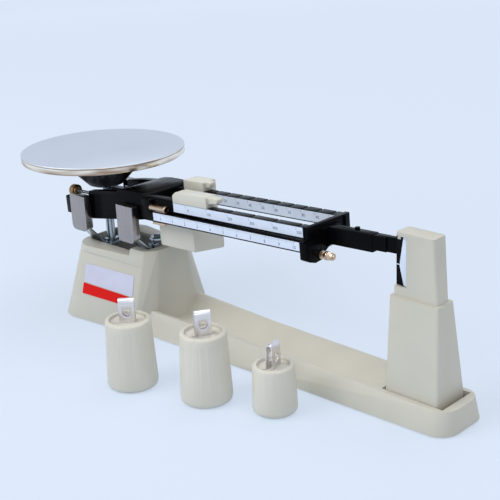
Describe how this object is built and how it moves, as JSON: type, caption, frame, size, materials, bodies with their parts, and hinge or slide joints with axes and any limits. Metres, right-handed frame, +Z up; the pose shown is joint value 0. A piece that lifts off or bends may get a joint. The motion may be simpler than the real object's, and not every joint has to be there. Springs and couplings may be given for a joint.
{
  "type": "triple beam balance",
  "caption": "Mechanical precision balance: round pan on a knife-edge lever, notched beams with sliding poises, pointer tower and separate hanging weights.",
  "frame": {"origin": "on the table, under the middle of the bounding box of the balance and its three weights", "axes": "+Z up, +X along the beams from the pan to the pointer tower, -Y to the front with the label"},
  "size_m": [0.4739, 0.2026, 0.1505],
  "materials": {
    "cream_cast": "satin",
    "cream_weight": "satin",
    "black_cast": "gloss",
    "black_hub": "satin",
    "black_trim": "satin",
    "steel": "satin",
    "chrome": "polished",
    "pan_steel": "satin",
    "agate": "satin",
    "rubber": "matte",
    "nickel": "polished",
    "brass": "satin",
    "white": "satin",
    "magnet": "matte",
    "copper_vane": "satin"
  },
  "bodies": {
    "base": {"base_casting": "cream_cast", "rubber_feet": "rubber", "tower_casting": "cream_cast", "tower_screws": "steel", "stop_pads": "rubber", "dial_plate": "white", "dial_back": "black_trim", "damper_magnets": "magnet", "label_plate": "white", "stand_strap": "steel", "stand_bolt": "steel", "stand_nut": "steel", "link_bracket": "steel", "base_pin": "steel", "main_bearings": "agate", "main_covers": "chrome"},
    "beam": {"beam_casting": "black_cast", "scale_front": "white", "scale_middle": "white", "scale_rear": "white", "main_knives": "steel", "pan_knives": "steel", "hanger_stud": "nickel", "balance_rod": "steel", "arm_pin": "black_trim", "damping_vane": "copper_vane"},
    "zero_knob": {"zero_knob": "brass"},
    "pan_carrier": {"pan_stirrup": "steel", "pan_bearings": "agate", "pan_covers": "chrome", "pan_stem": "steel", "stem_nut": "steel", "pan_hub": "black_hub", "stem_pin": "steel"},
    "check_link": {"check_link": "steel"},
    "pan": {"pan_plate": "pan_steel"},
    "poise_rear": {"poise_rear": "cream_weight"},
    "poise_middle": {"poise_middle": "cream_weight", "poise_middle_block": "cream_weight"},
    "rider": {"rider_clip": "nickel", "rider_tube": "nickel"},
    "weight_a": {"weight_a_body": "cream_weight", "weight_a_loop": "steel"},
    "weight_b": {"weight_b_body": "cream_weight", "weight_b_loop": "steel"},
    "weight_c": {"weight_c_body": "cream_weight", "weight_c_loop": "steel"}
  },
  "joints": [
    {"name": "beam_swing", "type": "hinge", "parent": "base", "child": "beam", "pos_m": [-0.09404, 0.0263, 0.1], "axis": [0, 1, 0], "range_deg": [0, 4.4]},
    {"name": "carrier_swing", "type": "hinge", "parent": "beam", "child": "pan_carrier", "pos_m": [-0.16196, 0.0263, 0.09668], "axis": [0, 1, 0], "range_deg": [-4.4, 0]},
    {"name": "link_swing", "type": "hinge", "parent": "base", "child": "check_link", "pos_m": [-0.09404, 0.0263, 0.04], "axis": [0, 1, 0], "range_deg": [0, 4.4]},
    {"name": "pan_lift", "type": "slide", "parent": "pan_carrier", "child": "pan", "axis": [0, 0, 1], "range_m": [0, 0.05]},
    {"name": "rear_poise_slide", "type": "slide", "parent": "beam", "child": "poise_rear", "axis": [0.9988, 0, 0.0489], "range_m": [0, 0.147]},
    {"name": "middle_poise_slide", "type": "slide", "parent": "beam", "child": "poise_middle", "axis": [0.9988, 0, 0.0489], "range_m": [0, 0.1235]},
    {"name": "rider_slide", "type": "slide", "parent": "beam", "child": "rider", "axis": [0.9988, 0, 0.0489], "range_m": [0, 0.15]},
    {"name": "zero_knob_turn", "type": "hinge", "parent": "beam", "child": "zero_knob", "pos_m": [-0.17922, 0.0033, 0.11185], "axis": [0.9988, 0, 0.0489], "continuous": true},
    {"name": "weight_a_lift", "type": "slide", "parent": "base", "child": "weight_a", "axis": [0, 0, 1], "range_m": [0, 0.12]},
    {"name": "weight_b_lift", "type": "slide", "parent": "base", "child": "weight_b", "axis": [0, 0, 1], "range_m": [0, 0.12]},
    {"name": "weight_c_lift", "type": "slide", "parent": "base", "child": "weight_c", "axis": [0, 0, 1], "range_m": [0, 0.12]}
  ],
  "couplings": [
    {"joint": "carrier_swing", "follows": "beam_swing", "ratio": -1},
    {"joint": "link_swing", "follows": "beam_swing", "ratio": 1}
  ]
}
